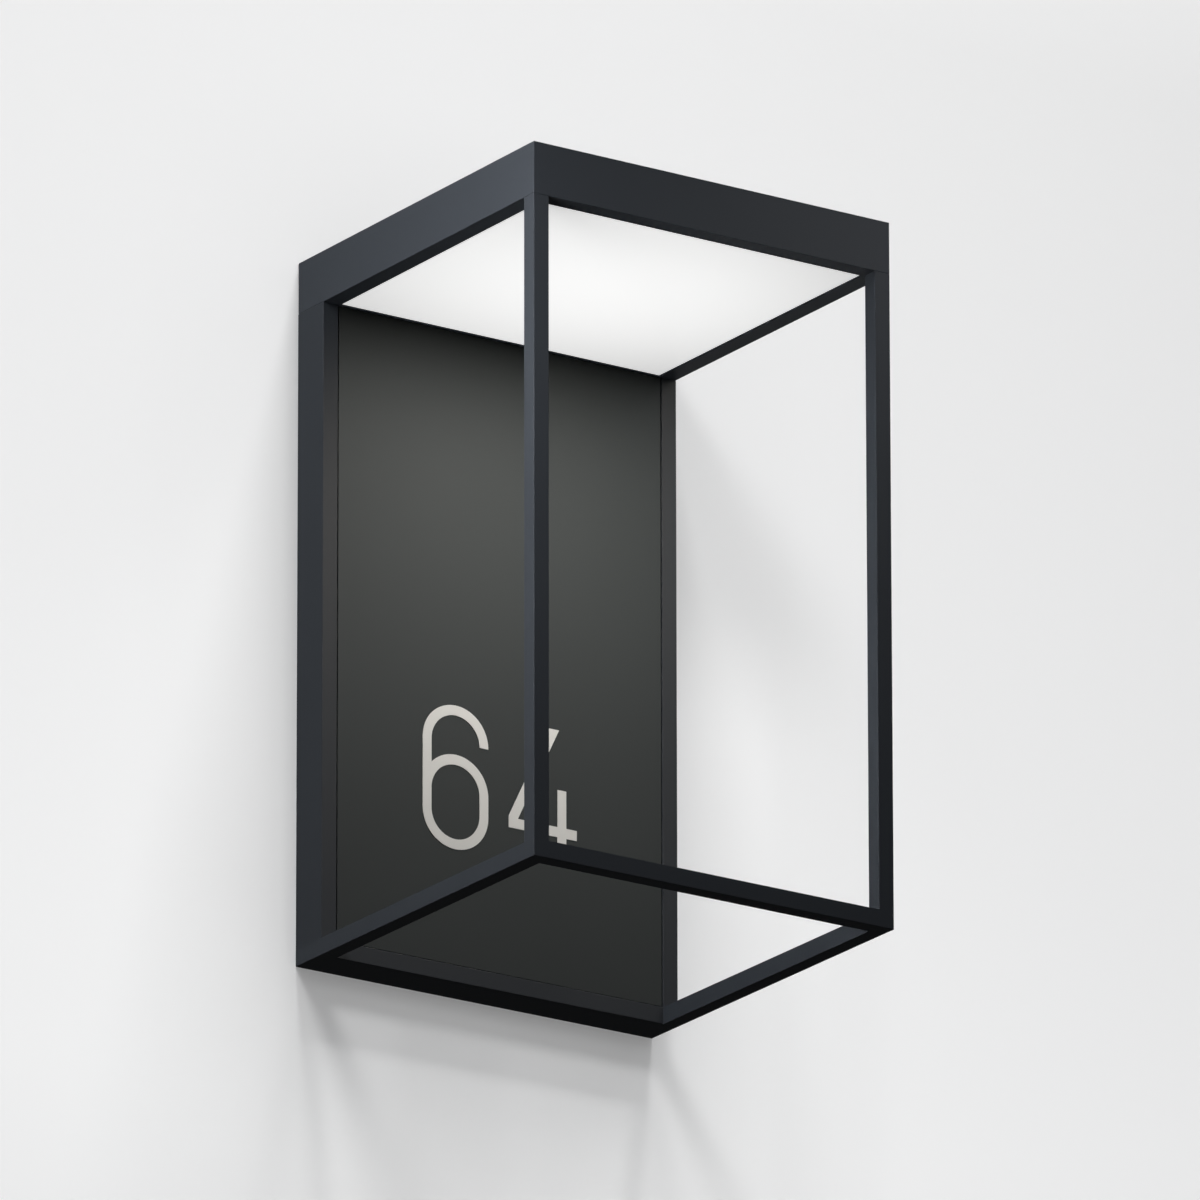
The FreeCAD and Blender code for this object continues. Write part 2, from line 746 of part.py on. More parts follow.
def back_plate():
    """Sheet behind the wall box, with slots for the bracket's hooks and a keyhole for its lock screw."""
    gap = plate_clearance
    plate = block(-inner_x + gap, inner_x - gap, plate_front, plate_back, ring_top + gap, head_base - gap)
    for side in (-1, 1):
        x = side * hook_spacing / 2
        half = hook_width / 2 + hook_clearance
        low = hook_top - lift - hook_thickness - hook_clearance
        plate = plate.cut(block(x - half, x + half, plate_front, plate_back, low, hook_top))
        for z in plate_screw_z:
            plate = plate.cut(rod((side * plate_screw_x, plate_back, z), (0, -1, 0),
                                  screw_radius + hole_clearance, sheet))
    throat = lock_screw_radius + plate_clearance
    head_hole = lock_head_radius + lock_head_clearance
    plate = plate.cut(rod((0, plate_back, lock_z), (0, -1, 0), throat, sheet))
    plate = plate.cut(block(-throat, throat, plate_front, plate_back, lock_z - lift, lock_z))
    plate = plate.cut(rod((0, plate_back, lock_z - lift), (0, -1, 0), head_hole, sheet))
    plate = plate.cut(rod((0, plate_back, entry_z), (0, -1, 0), entry_hole_radius, sheet))
    for x, z in driver_ear_places + terminal_screw_places + magnet_places:
        plate = plate.cut(rod((x, plate_back, z), (0, -1, 0), screw_radius + thread_clearance, sheet))
    return plate


def back_plate_screws():
    """Screws from the front through the back plate into the stile flanges."""
    return group(screw_in(side * plate_screw_x, z, 2 * sheet, plate_front) for side in (-1, 1)
                 for z in plate_screw_z)


def wall_gasket():
    """Four foam strips that close the wall box against the wall."""
    y0 = plate_back + sheet
    inner = inner_x - gasket_width
    return group([block(-inner_x, -inner, y0, 0, ring_top, head_base),
                  block(inner, inner_x, y0, 0, ring_top, head_base),
                  block(-inner, inner, y0, 0, ring_top, ring_top + gasket_width),
                  block(-inner, inner, y0, 0, head_base - gasket_width, head_base)])


def cable_grommet():
    """Rubber grommet for the supply cable, in the back plate."""
    depth = sheet + 2 * entry_flange_thickness
    start = plate_back + entry_flange_thickness
    body = rod((0, start, entry_z), (0, -1, 0), entry_flange_radius, entry_flange_thickness)
    body = body.fuse(rod((0, start, entry_z), (0, -1, 0), entry_hole_radius - thread_clearance, depth))
    body = body.fuse(rod((0, plate_front, entry_z), (0, -1, 0), entry_flange_radius, entry_flange_thickness))
    nose = rod((0, start - depth, entry_z), (0, -1, 0), entry_bore_radius + entry_nose_wall, entry_nose)
    body = body.fuse(nose)
    return body.cut(rod((0, start, entry_z), (0, -1, 0), entry_bore_radius, depth + entry_nose))


# ---------------------------------------------------------------- number panel
def number_panel():
    """Removable front panel that carries the numerals."""
    panel = block(-inner_x + panel_seam, inner_x - panel_seam, panel_front, panel_back,
                  ring_top + panel_foot_gap, head_base - panel_seam)
    return round_edges(panel, seam_radius, lambda mid, direction: near(mid.y, panel_front))


def half_ring(centre_x, centre_z, outer, upper):
    """Half of a numeral's round stroke, above or below its centre."""
    y = panel_front - numeral_film
    disc = rod((centre_x, y, centre_z), (0, 1, 0), outer, numeral_film)
    disc = disc.cut(rod((centre_x, y, centre_z), (0, 1, 0), outer - numeral_stroke, numeral_film))
    z0, z1 = (centre_z, centre_z + outer) if upper else (centre_z - outer, centre_z)
    return disc.common(block(centre_x - outer, centre_x + outer, y, panel_front, z0, z1))


def film(x0, x1, z0, z1):
    """Straight stroke of a numeral."""
    return block(x0, x1, panel_front - numeral_film, panel_front, z0, z1)


def numeral_six():
    """Six of straight and half-round strokes."""
    radius = six_width / 2
    left = six_centre_x - radius
    right = six_centre_x + radius
    low = numeral_base_z + radius
    bowl_top = numeral_base_z + bowl_height - radius
    high = numeral_base_z + six_height - radius
    shape = half_ring(six_centre_x, low, radius, False)
    shape = shape.fuse(half_ring(six_centre_x, bowl_top, radius, True))
    shape = shape.fuse(half_ring(six_centre_x, high, radius, True))
    shape = shape.fuse(film(left, left + numeral_stroke, low, high))
    shape = shape.fuse(film(right - numeral_stroke, right, low, bowl_top))
    return shape.removeSplitter()


def numeral_four():
    """Four of a slanting stroke, a crossbar and an upright."""
    y = panel_front - numeral_film
    base = numeral_base_z + four_lift
    top = base + four_height
    left = four_left_x
    right = left + four_width
    bar_top = top - four_bar_drop
    bar_low = bar_top - numeral_stroke
    slope = four_head_offset / (four_bar_drop - four_heel)
    slant_width = numeral_stroke * math.sqrt(1 + slope ** 2)
    head_x = left + four_head_offset
    points = [(left, bar_top + four_heel), (head_x, top), (head_x + slant_width, top),
              (head_x + slant_width - slope * four_bar_drop, bar_top), (right, bar_top), (right, bar_low),
              (left, bar_low)]
    shape = prism([(x, y, z) for x, z in points], (0, numeral_film, 0))
    upright_right = right - four_bar_right
    upright = film(upright_right - numeral_stroke, upright_right, base, top - four_upright_top)
    return shape.fuse(upright).removeSplitter()


def panel_keepers():
    """Steel discs bonded behind the panel, opposite the magnets."""
    return group(rod((x, panel_back, z), (0, 1, 0), keeper_radius, keeper_thickness)
                 for x, z in magnet_places)


magnet_front = panel_back + keeper_thickness


def magnet_blocks():
    """Plastic blocks on the back plate, each with a seat for a magnet."""
    half = magnet_block / 2
    blocks = []
    for x, z in magnet_places:
        body = block(x - half, x + half, magnet_front, plate_front, z - half, z + half)
        body = body.cut(rod((x, magnet_front, z), (0, 1, 0), magnet_radius + thread_clearance, magnet_depth))
        blocks.append(body.cut(rod((x, plate_front, z), (0, -1, 0), screw_radius + thread_clearance,
                                   magnet_screw_depth + hole_end)))
    return group(blocks)


def panel_magnets():
    """Disc magnets that hold the panel."""
    return group(rod((x, magnet_front, z), (0, 1, 0), magnet_radius, magnet_depth) for x, z in magnet_places)


def magnet_block_screws():
    """Screws from behind the back plate into the magnet blocks."""
    screws = []
    for x, z in magnet_places:
        head = cheese_head(x, plate_back, z, (0, 1, 0))
        screws.append(head.fuse(rod((x, plate_back, z), (0, -1, 0), screw_radius,
                                    sheet + magnet_screw_depth)))
    return group(screws)


# ---------------------------------------------------------------- wall bracket
def slot_hole(x, z):
    """Sideways slot for a wall screw."""
    half = slot_length / 2 - slot_radius
    hole = block(x - half, x + half, -bracket_thickness, 0, z - slot_radius, z + slot_radius)
    for end in (x - half, x + half):
        hole = hole.fuse(rod((end, -bracket_thickness, z), (0, 1, 0), slot_radius, bracket_thickness))
    return hole


def wall_bracket():
    """Steel bracket on the wall: four slots, a cable window and two upturned hooks."""
    plate = block(-bracket_half_x, bracket_half_x, -bracket_thickness, 0, -bracket_half_z, bracket_half_z)
    plate = round_edges(plate, bracket_corner, lambda mid, direction: along(direction, 1))
    window_x = bracket_half_x - bracket_side
    window_z = bracket_half_z - bracket_bar
    window = block(-window_x, window_x, -bracket_thickness, 0, -window_z, window_z)
    window = round_edges(window, bracket_corner, lambda mid, direction: along(direction, 1))
    plate = plate.cut(window)
    for x in (-hole_spacing_x / 2, hole_spacing_x / 2):
        for z in (-hole_spacing_z / 2, hole_spacing_z / 2):
            plate = plate.cut(slot_hole(x, z))
    plate = plate.cut(rod((0, -bracket_thickness, lock_z), (0, 1, 0), lock_screw_radius + thread_clearance,
                          bracket_thickness))
    lip_back = plate_front - hook_clearance
    for side in (-1, 1):
        x = side * hook_spacing / 2
        tongue = block(x - hook_width / 2, x + hook_width / 2, lip_back - hook_thickness, -bracket_thickness,
                       hook_top - hook_thickness, hook_top)
        lip = block(x - hook_width / 2, x + hook_width / 2, lip_back - hook_thickness, lip_back,
                    hook_top - hook_thickness, hook_top + hook_lip)
        plate = plate.fuse(tongue).fuse(lip)
    return plate.removeSplitter()


def lock_standoff():
    """Threaded standoff pressed into the bracket."""
    post = rod((0, -bracket_thickness, lock_z), (0, -1, 0), lock_standoff_radius, plate_gap)
    return post.cut(rod((0, -bracket_thickness, lock_z), (0, -1, 0), lock_screw_radius + thread_clearance,
                        plate_gap))


def lock_screw():
    """Screw that clamps the back plate; loosened, it lets the lantern lift off the hooks."""
    head = rod((0, plate_front, lock_z), (0, -1, 0), lock_head_radius, lock_head_height)
    slot_front = plate_front - lock_head_height
    head = head.cut(block(-lock_head_radius, lock_head_radius, slot_front, slot_front + drive_depth,
                          lock_z - lock_slot_width / 2, lock_z + lock_slot_width / 2))
    length = sheet + plate_gap + bracket_thickness / 2
    return head.fuse(rod((0, plate_front, lock_z), (0, 1, 0), lock_screw_radius, length))


# ---------------------------------------------------------------- driver
driver_x0 = driver_x - driver_width / 2
driver_x1 = driver_x + driver_width / 2
core_x = [driver_x - core_spacing / 2, driver_x + core_spacing / 2]
driver_board_y = plate_front - driver_wall - driver_board_gap
driver_board_front = driver_board_y - driver_board_thickness


def driver_case():
    """Driver's tray, with an ear at each end and a step inside for its board."""
    wall = driver_wall
    case = block(driver_x0, driver_x1, driver_front, plate_front, driver_bottom_z, driver_top_z)
    case = case.cut(block(driver_x0 + wall, driver_x1 - wall, driver_front, driver_board_y,
                          driver_bottom_z + wall, driver_top_z - wall))
    inner = wall + board_step
    case = case.cut(block(driver_x0 + inner, driver_x1 - inner, driver_board_y, plate_front - wall,
                          driver_bottom_z + inner, driver_top_z - inner))
    for x, z in driver_ear_places:
        ear = block(x - driver_ear / 2, x + driver_ear / 2, plate_front - driver_ear_thickness, plate_front,
                    z - driver_ear / 2, z + driver_ear / 2)
        case = case.fuse(ear).cut(rod((x, plate_front, z), (0, -1, 0), screw_radius + hole_clearance,
                                      driver_ear_thickness))
    for x in core_x:
        case = case.cut(rod((x, lead_y, driver_bottom_z), (0, 0, 1), core_radius + thread_clearance, wall))
    case = case.cut(rod((driver_x, lead_y, driver_top_z), (0, 0, -1), led_lead_radius + thread_clearance,
                        wall))
    return case.removeSplitter()


def driver_lid():
    """Flat lid of the driver."""
    return block(driver_x0, driver_x1, driver_front - driver_lid_thickness, driver_front,
                 driver_bottom_z, driver_top_z)


def driver_board():
    """Driver's circuit board, on the step inside the tray."""
    edge = driver_wall + driver_board_clearance
    return block(driver_x0 + edge, driver_x1 - edge, driver_board_front, driver_board_y,
                 driver_bottom_z + edge, driver_top_z - edge)


def driver_transformer():
    """Transformer block on the driver board."""
    width, height, length = transformer_size
    z = (driver_bottom_z + driver_top_z) / 2
    return block(driver_x - width / 2, driver_x + width / 2, driver_board_front - height, driver_board_front,
                 z - length / 2, z + length / 2)


def driver_capacitors():
    """Capacitors lying on the driver board, either side of the transformer."""
    z_mid = (driver_bottom_z + driver_top_z) / 2
    y = driver_board_front - capacitor_radius
    away = transformer_size[2] / 2 + capacitor_gap
    low = rod((driver_x, y, z_mid - away - capacitor_length), (0, 0, 1), capacitor_radius, capacitor_length)
    high = rod((driver_x, y, z_mid + away), (0, 0, 1), capacitor_radius, capacitor_length)
    return group([low, high])


def driver_screws():
    """Screws through the driver's ears."""
    return group(screw_in(x, z, driver_ear_thickness + sheet, plate_front - driver_ear_thickness)
                 for x, z in driver_ear_places)


# ---------------------------------------------------------------- terminals and leads
terminal_front = plate_front - terminal_height
clamp_screw_x = [terminal_mid_x - clamp_screw_spread, terminal_mid_x + clamp_screw_spread]


def terminal_block():
    """Three-pole screw terminal for the supply wires."""
    left = terminal_mid_x - terminal_width / 2
    body = block(left, terminal_right_x, terminal_front, plate_front,
                 terminal_mid_z - terminal_half_z, terminal_mid_z + terminal_half_z)
    for z in pole_z:
        body = body.cut(rod((left, lead_y, z), (1, 0, 0), clamp_outer_radius + thread_clearance,
                            terminal_width))
        for x in clamp_screw_x:
            body = body.cut(rod((x, terminal_front, z), (0, 1, 0), clamp_screw_radius + hole_clearance,
                                terminal_height - lead_axis_gap))
    for x, z in terminal_screw_places:
        body = body.cut(rod((x, plate_front, z), (0, -1, 0), screw_radius + hole_clearance, terminal_height))
    return body


def terminal_clamps():
    """Brass sleeves that grip the wires."""
    sleeves = []
    for z in pole_z:
        start = (terminal_mid_x - clamp_length / 2, lead_y, z)
        sleeve = rod(start, (1, 0, 0), clamp_outer_radius, clamp_length)
        sleeve = sleeve.cut(rod(start, (1, 0, 0), clamp_bore_radius, clamp_length))
        for x in clamp_screw_x:
            sleeve = sleeve.cut(rod((x, lead_y, z), (0, -1, 0), clamp_screw_radius + thread_clearance,
                                    2 * clamp_outer_radius))
        sleeves.append(sleeve)
    return group(sleeves)


def terminal_wire_screws():
    """Small screws that clamp the wires in their sleeves."""
    start = terminal_front + clamp_screw_sink
    length = lead_y - core_radius - hole_clearance - start
    screws = []
    for z in pole_z:
        for x in clamp_screw_x:
            slot = block(x - clamp_screw_radius, x + clamp_screw_radius, start, start + wire_slot,
                         z - wire_slot / 2, z + wire_slot / 2)
            screws.append(rod((x, start, z), (0, 1, 0), clamp_screw_radius, length).cut(slot))
    return group(screws)


def terminal_mount_screws():
    """Screws that hold the terminal block on the back plate."""
    screws = []
    for x, z in terminal_screw_places:
        screws.append(screw_in(x, z, terminal_height + sheet, terminal_front))
    return group(screws)


def core_lead(pole, x):
    """Lead core from a terminal pole, sideways and then up into the driver's end."""
    z = pole_z[pole]
    start = (terminal_mid_x + wire_stop, lead_y, z)
    end = (x, lead_y, driver_bottom_z + driver_wall)
    return lead([start, (x, lead_y, z), end], [lead_bend_radius], core_radius)


def led_lead():
    """Low-voltage lead from the driver, up through the head's floor, to the LED connector."""
    turn_z = lug_top + led_plate_thickness + connector_height / 2
    points = [(driver_x, lead_y, driver_top_z - driver_wall), (driver_x, lead_y, turn_z),
              (driver_x, connector_y1, turn_z)]
    return lead(points, [lead_bend_radius], led_lead_radius)


def lead_clips():
    """Small saddles that hold the LED lead on the back plate."""
    clips = []
    for z in clip_z:
        clip = block(driver_x - clip_width / 2, driver_x + clip_width / 2,
                     lead_y - led_lead_radius - clip_wall, plate_front,
                     z - clip_length / 2, z + clip_length / 2)
        clips.append(clip.cut(rod((driver_x, lead_y, z - clip_length / 2), (0, 0, 1),
                                  led_lead_radius + thread_clearance, clip_length)))
    return group(clips)


earth_z = pole_z[0]
earth_post_front = lead_y + lug_thickness / 2
barrel_x = earth_x - earth_radius - lug_barrel + lug_overlap


def earth_standoff():
    """Brass post that bonds the earth wire to the back plate."""
    post = rod((earth_x, plate_front, earth_z), (0, -1, 0), earth_post_radius, plate_front - earth_post_front)
    return post.cut(rod((earth_x, earth_post_front, earth_z), (0, 1, 0), screw_radius + thread_clearance,
                        earth_screw_depth + hole_end))


def earth_lug():
    """Ring lug on the earth wire's end, with a barrel round the wire."""
    lug = rod((earth_x, earth_post_front, earth_z), (0, -1, 0), earth_radius, lug_thickness)
    lug = lug.cut(rod((earth_x, earth_post_front, earth_z), (0, -1, 0), screw_radius + hole_clearance,
                      lug_thickness))
    barrel = rod((barrel_x, lead_y, earth_z), (1, 0, 0), core_radius + lug_barrel_wall, lug_barrel)
    return lug.fuse(barrel).cut(rod((barrel_x, lead_y, earth_z), (1, 0, 0),
                                    core_radius + thread_clearance, lug_wire_depth))


def earth_screw():
    """Screw that clamps the ring lug."""
    return screw_in(earth_x, earth_z, lug_thickness + earth_screw_depth, earth_post_front - lug_thickness)


def earth_lead():
    """Earth wire from the top pole to its lug."""
    start_x = terminal_mid_x + wire_stop
    return rod((start_x, lead_y, earth_z), (1, 0, 0), core_radius, barrel_x + lug_wire_depth - start_x)


# ---------------------------------------------------------------- write one file for each node
def main():
    posts = mirrored_pair(front_post)
    stiles = mirrored_pair(back_stile)
    side_rails = mirrored_pair(bottom_rail_side)
    nodes = {
        "head_frame": head_frame(),
        "head_cover": head_cover(),
        "cover_gasket": cover_gasket(),
        "cover_screws": cover_screws(),
        "diffuser": diffuser(),
        "diffuser_gasket": diffuser_gasket(),
        "reflector_frame": reflector_frame(),
        "led_plate": led_plate(),
        "led_plate_screws": led_plate_screws(),
        "led_boards": led_boards(),
        "led_chips": led_chips(),
        "board_screws": board_screws(),
        "board_link_wires": board_link_wires(),
        "led_connector": led_connector(),
        "lead_grommet": lead_grommet(),
        "front_post_left": posts["left"],
        "front_post_right": posts["right"],
        "back_stile_left": stiles["left"],
        "back_stile_right": stiles["right"],
        "bottom_rail_front": bottom_rail_front(),
        "bottom_rail_left": side_rails["left"],
        "bottom_rail_right": side_rails["right"],
        "bottom_rail_back": bottom_rail_back(),
        "post_screws": post_screws(),
        "stile_screws": stile_screws(),
        "corner_dowels": corner_dowels(),
        "back_plate": back_plate(),
        "back_plate_screws": back_plate_screws(),
        "wall_gasket": wall_gasket(),
        "cable_grommet": cable_grommet(),
        "number_panel": number_panel(),
        "numeral_six": numeral_six(),
        "numeral_four": numeral_four(),
        "panel_keepers": panel_keepers(),
        "magnet_blocks": magnet_blocks(),
        "panel_magnets": panel_magnets(),
        "magnet_block_screws": magnet_block_screws(),
        "wall_bracket": wall_bracket(),
        "lock_standoff": lock_standoff(),
        "lock_screw": lock_screw(),
        "driver_case": driver_case(),
        "driver_lid": driver_lid(),
        "driver_board": driver_board(),
        "driver_transformer": driver_transformer(),
        "driver_capacitors": driver_capacitors(),
        "driver_screws": driver_screws(),
        "terminal_block": terminal_block(),
        "terminal_clamps": terminal_clamps(),
        "terminal_wire_screws": terminal_wire_screws(),
        "terminal_mount_screws": terminal_mount_screws(),
        "live_lead": core_lead(1, core_x[0]),
        "neutral_lead": core_lead(2, core_x[1]),
        "led_lead": led_lead(),
        "lead_clips": lead_clips(),
        "earth_standoff": earth_standoff(),
        "earth_lug": earth_lug(),
        "earth_screw": earth_screw(),
        "earth_lead": earth_lead(),
    }
    os.makedirs("parts", exist_ok=True)
    for name, shape in nodes.items():
        if not shape.isValid():
            print("not valid:", name)
        shape.exportStep("parts/" + name + ".step")
        print(name, len(shape.Solids), "solids", round(shape.Volume / 1000, 2), "cm3")


main()
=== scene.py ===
import bpy
import bmesh
import json
import math
from mathutils import Matrix, Vector

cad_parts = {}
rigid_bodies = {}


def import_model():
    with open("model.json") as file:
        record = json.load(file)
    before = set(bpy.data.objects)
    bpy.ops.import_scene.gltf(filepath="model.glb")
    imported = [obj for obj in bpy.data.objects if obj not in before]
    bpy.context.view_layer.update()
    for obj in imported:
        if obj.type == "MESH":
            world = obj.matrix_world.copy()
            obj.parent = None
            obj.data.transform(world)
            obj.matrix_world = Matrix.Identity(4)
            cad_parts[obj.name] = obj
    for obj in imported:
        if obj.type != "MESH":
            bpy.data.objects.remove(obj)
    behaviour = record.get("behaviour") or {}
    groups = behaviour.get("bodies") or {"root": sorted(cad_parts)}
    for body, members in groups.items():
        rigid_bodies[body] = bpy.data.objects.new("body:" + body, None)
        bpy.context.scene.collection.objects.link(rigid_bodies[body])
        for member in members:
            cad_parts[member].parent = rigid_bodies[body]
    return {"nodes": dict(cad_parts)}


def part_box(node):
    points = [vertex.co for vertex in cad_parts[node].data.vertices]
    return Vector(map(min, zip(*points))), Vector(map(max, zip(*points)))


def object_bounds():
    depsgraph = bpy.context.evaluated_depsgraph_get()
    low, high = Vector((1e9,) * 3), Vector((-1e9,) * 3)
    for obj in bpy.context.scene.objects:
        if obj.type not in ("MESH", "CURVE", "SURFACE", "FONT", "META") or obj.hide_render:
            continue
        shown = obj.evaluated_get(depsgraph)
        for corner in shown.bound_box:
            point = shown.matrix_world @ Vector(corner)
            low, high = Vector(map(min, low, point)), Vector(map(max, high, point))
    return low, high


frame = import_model()
cad_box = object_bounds()
nodes = frame["nodes"]

# ------------------------------------------------------------------ the photograph's view
# A long lens, low and to the left of the sign, that looks up at the light head. The sign hangs on a
# wall, so the view is centred by moving the camera sideways, not by shifting its picture.
view_turn = math.radians(-33.869)
view_rise = math.radians(-18.923)
view_roll = math.radians(-0.087)
view_distance = 11.035
view_right = 0.0734
view_up = 0.0298
lens = 562.44
sensor = 36.0

back = Vector((math.sin(view_turn) * math.cos(view_rise), -math.cos(view_turn) * math.cos(view_rise),
               math.sin(view_rise)))
level = (-back).cross(Vector((0, 0, 1))).normalized()
upright = level.cross(-back)
place = back * view_distance + level * view_right + upright * view_up
across = level * math.cos(view_roll) + upright * math.sin(view_roll)
over = upright * math.cos(view_roll) - level * math.sin(view_roll)
camera_data = bpy.data.cameras.new("camera")
camera_data.lens = lens
camera_data.sensor_width = sensor
camera_data.clip_end = 60.0
camera = bpy.data.objects.new("camera", camera_data)
camera.matrix_world = Matrix.Translation(place) @ Matrix((across, over, back)).transposed().to_4x4()
bpy.context.scene.collection.objects.link(camera)
bpy.context.scene.camera = camera


# ------------------------------------------------------------------ wall bracket
# Folded steel plate, zinc plated after it is cut and bent. Four screws hold it to the wall, and the
# lantern hangs on its two hooks; a pressed-in standoff takes the lock screw.
class Socket:
    """One value or colour in a finish. Sums on it add the finish's Math nodes."""

    def __init__(self, finish, link):
        self.finish = finish
        self.link = link

    def maths(self, operation, first, second):
        return self.finish.node("Math", {"operation": operation}, {0: first, 1: second})

    def __add__(self, other):
        return self.maths("ADD", self, other)

    def __radd__(self, other):
        return self.maths("ADD", other, self)

    def __sub__(self, other):
        return self.maths("SUBTRACT", self, other)

    def __rsub__(self, other):
        return self.maths("SUBTRACT", other, self)

    def __mul__(self, other):
        return self.maths("MULTIPLY", self, other)


class Nodes:
    """The node tree of one material or of the world."""

    def __init__(self, owner):
        owner.use_nodes = True
        self.tree = owner.node_tree

    def fill(self, made, sockets):
        for name, value in sockets.items():
            if isinstance(value, Socket):
                self.tree.links.new(value.link, made.inputs[name])
            else:
                made.inputs[name].default_value = value

    def node(self, kind, settings, sockets, output=0):
        """Any other node: its settings, then its sockets' values or links; gives one output."""
        made = self.tree.nodes.new("ShaderNode" + kind)
        for name, value in settings.items():
            setattr(made, name, value)
        self.fill(made, sockets)
        return Socket(self, made.outputs[output])

    def place(self):
        return self.node("TexCoord", {}, {}, "Object")

    def mix(self, share, first, second):
        """Colour between two colours."""
        return self.node("Mix", {"data_type": "RGBA"}, {0: share, 6: first, 7: second}, 2)

    def noise(self, size, detail=2.0, stretch=(1.0, 1.0, 1.0)):
        """Soft random pattern whose grains are about size metres across."""
        spot = self.node("Mapping", {}, {"Vector": self.place(), "Scale": stretch})
        return self.node("TexNoise", {}, {"Vector": spot, "Scale": 1.0 / size, "Detail": detail})

    def step(self, value, low, high):
        """0 below low, 1 above high, smooth between them."""
        return self.node("MapRange", {"interpolation_type": "SMOOTHSTEP"},
                         {"Value": value, "From Min": low, "From Max": high})


class Finish(Nodes):
    """A material on one Principled shader: constants are set on it, and paint() links what varies."""

    def __init__(self, name, constants):
        self.material = bpy.data.materials.new(name)
        super().__init__(self.material)
        self.shader = self.tree.nodes["Principled BSDF"]
        self.paint(constants)

    def paint(self, sockets):
        self.fill(self.shader, sockets)

    def relief(self, height, depth, strength=1.0):
        """Bumps of the given depth in metres."""
        self.paint({"Normal": self.node("Bump", {}, {"Height": height, "Distance": depth,
                                                     "Strength": strength})})


def colour(red, green, blue):
    return (red, green, blue, 1.0)


def dress(finish, *names):
    """Puts a finish on CAD nodes."""
    for name in names:
        for slot in nodes[name].material_slots:
            slot.material = finish.material


spangle_size = 0.006

zinc = Finish("zinc_plate", {"Metallic": 1.0})
spangle = zinc.node("TexVoronoi", {}, {"Vector": zinc.place(), "Scale": 1.0 / spangle_size}, "Color")
spangle_share = zinc.node("SeparateColor", {}, {"Color": spangle})
zinc.paint({"Base Color": zinc.mix(spangle_share, colour(0.57, 0.59, 0.61), colour(0.65, 0.67, 0.69)),
            "Roughness": 0.34 + spangle_share * 0.07})
zinc.relief(zinc.noise(0.0015), 0.00004)
dress(zinc, "wall_bracket")

# ------------------------------------------------------------------ screws, pins and keepers
# Stainless steel, turned or pressed and then tumbled, which leaves a finely uneven shine. The keepers
# are flat discs of it behind the panel.
steel = Finish("stainless_steel", {"Metallic": 1.0})
tumbled = steel.noise(0.0006, 4.0)
stained = steel.noise(0.004)
steel.paint({"Base Color": steel.mix(stained, colour(0.50, 0.50, 0.50), colour(0.66, 0.66, 0.65)),
             "Roughness": 0.26 + tumbled * 0.18})
steel.relief(tumbled, 0.00002)
dress(steel, "lock_standoff", "lock_screw", "cover_screws", "led_plate_screws", "board_screws",
      "post_screws", "stile_screws", "corner_dowels", "back_plate_screws", "magnet_block_screws",
      "driver_screws", "terminal_wire_screws", "terminal_mount_screws", "earth_screw", "panel_keepers")

# ------------------------------------------------------------------ back plate and LED plate
# Mill-finished aluminium sheet. The rolling leaves long faint streaks across it, and handling leaves
# slightly duller clouds.
mill = Finish("mill_aluminium", {"Metallic": 1.0})
streak = mill.noise(0.0009, 3.0, (0.02, 1.0, 1.0))
cloud = mill.noise(0.05, 3.0)
mill.paint({"Base Color": mill.mix(cloud, colour(0.70, 0.71, 0.72), colour(0.80, 0.81, 0.82)),
            "Roughness": 0.28 + streak * 0.16 + cloud * 0.10})
mill.relief(streak, 0.00002)
dress(mill, "back_plate", "led_plate")

# ------------------------------------------------------------------ seals
# The wall strips are closed-cell foam, cut from sheet, so their cells show. The gaskets and the two
# grommets are moulded rubber with a dull skin.
cell_size = 0.0009

foam = Finish("cell_foam", {"Specular IOR Level": 0.2})
cells = foam.node("TexVoronoi", {}, {"Vector": foam.place(), "Scale": 1.0 / cell_size})
foam.paint({"Base Color": foam.mix(cells, colour(0.010, 0.010, 0.011), colour(0.045, 0.045, 0.047)),
            "Roughness": 0.75 + cells * 0.2})
foam.relief(cells, 0.0003)
dress(foam, "wall_gasket")

rubber = Finish("moulded_rubber", {"Specular IOR Level": 0.35})
bloom = rubber.noise(0.004, 4.0)
rubber.paint({"Base Color": rubber.mix(bloom, colour(0.014, 0.014, 0.014), colour(0.030, 0.030, 0.031)),
              "Roughness": 0.55 + bloom * 0.2})
rubber.relief(rubber.noise(0.0004), 0.00003)
dress(rubber, "cover_gasket", "diffuser_gasket", "lead_grommet", "cable_grommet")

# ------------------------------------------------------------------ lantern frame and light head
# Extruded aluminium bars and a welded aluminium head, all in a fine-textured anthracite powder coat.
# The coat is nearly matt and a little blue.
coat = Finish("anthracite_coat", {"Specular IOR Level": 0.25})
grain = coat.noise(0.00045, 2.0)
drift = coat.noise(0.08, 2.0)
coat.paint({"Base Color": coat.mix(drift, colour(0.0310, 0.0360, 0.0440), colour(0.0360, 0.0415, 0.0500)),
            "Roughness": 0.50 + grain * 0.14})
coat.relief(grain, 0.00003, 0.6)
dress(coat, "head_frame", "head_cover", "front_post_left", "front_post_right", "back_stile_left",
      "back_stile_right", "bottom_rail_front", "bottom_rail_left", "bottom_rail_right", "bottom_rail_back")

